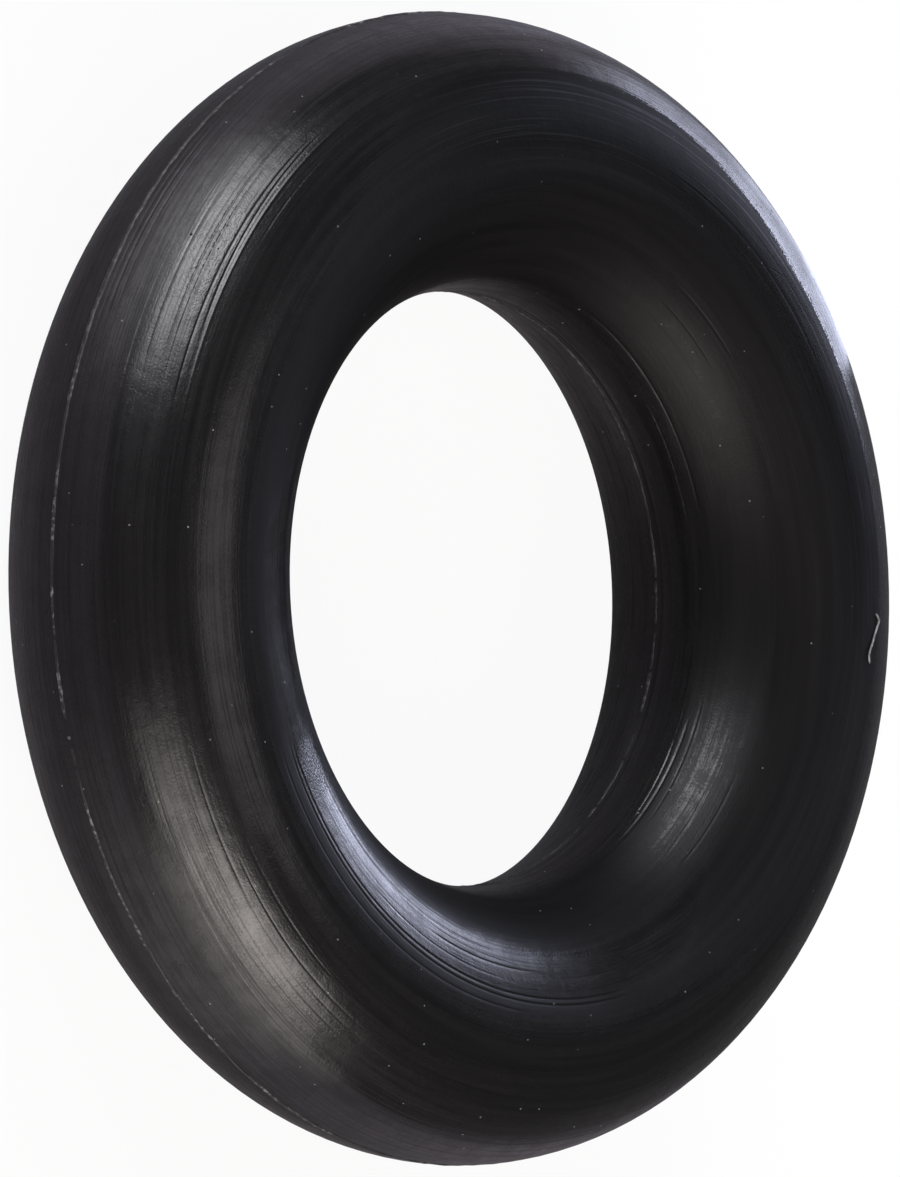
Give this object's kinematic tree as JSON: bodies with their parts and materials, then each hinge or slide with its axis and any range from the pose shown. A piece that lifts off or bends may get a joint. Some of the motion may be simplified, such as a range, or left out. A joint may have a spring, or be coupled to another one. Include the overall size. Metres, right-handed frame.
{
  "type": "o-ring",
  "caption": "Round-section rubber sealing ring with the fine trimmed moulding flash of its parting line round the bore and the outside.",
  "frame": {"origin": "centre of the ring, on its axis and on the parting plane of its mould", "axes": "+Z along the ring's axis, upright as the ring lies flat on a surface"},
  "size_m": [0.0146, 0.0146, 0.0036],
  "materials": {
    "rubber": "black moulded rubber, satin, with fine tool marks round the ring and a ragged pale flash line"
  },
  "bodies": {
    "root": {"o_ring": "rubber"}
  },
  "joints": []
}
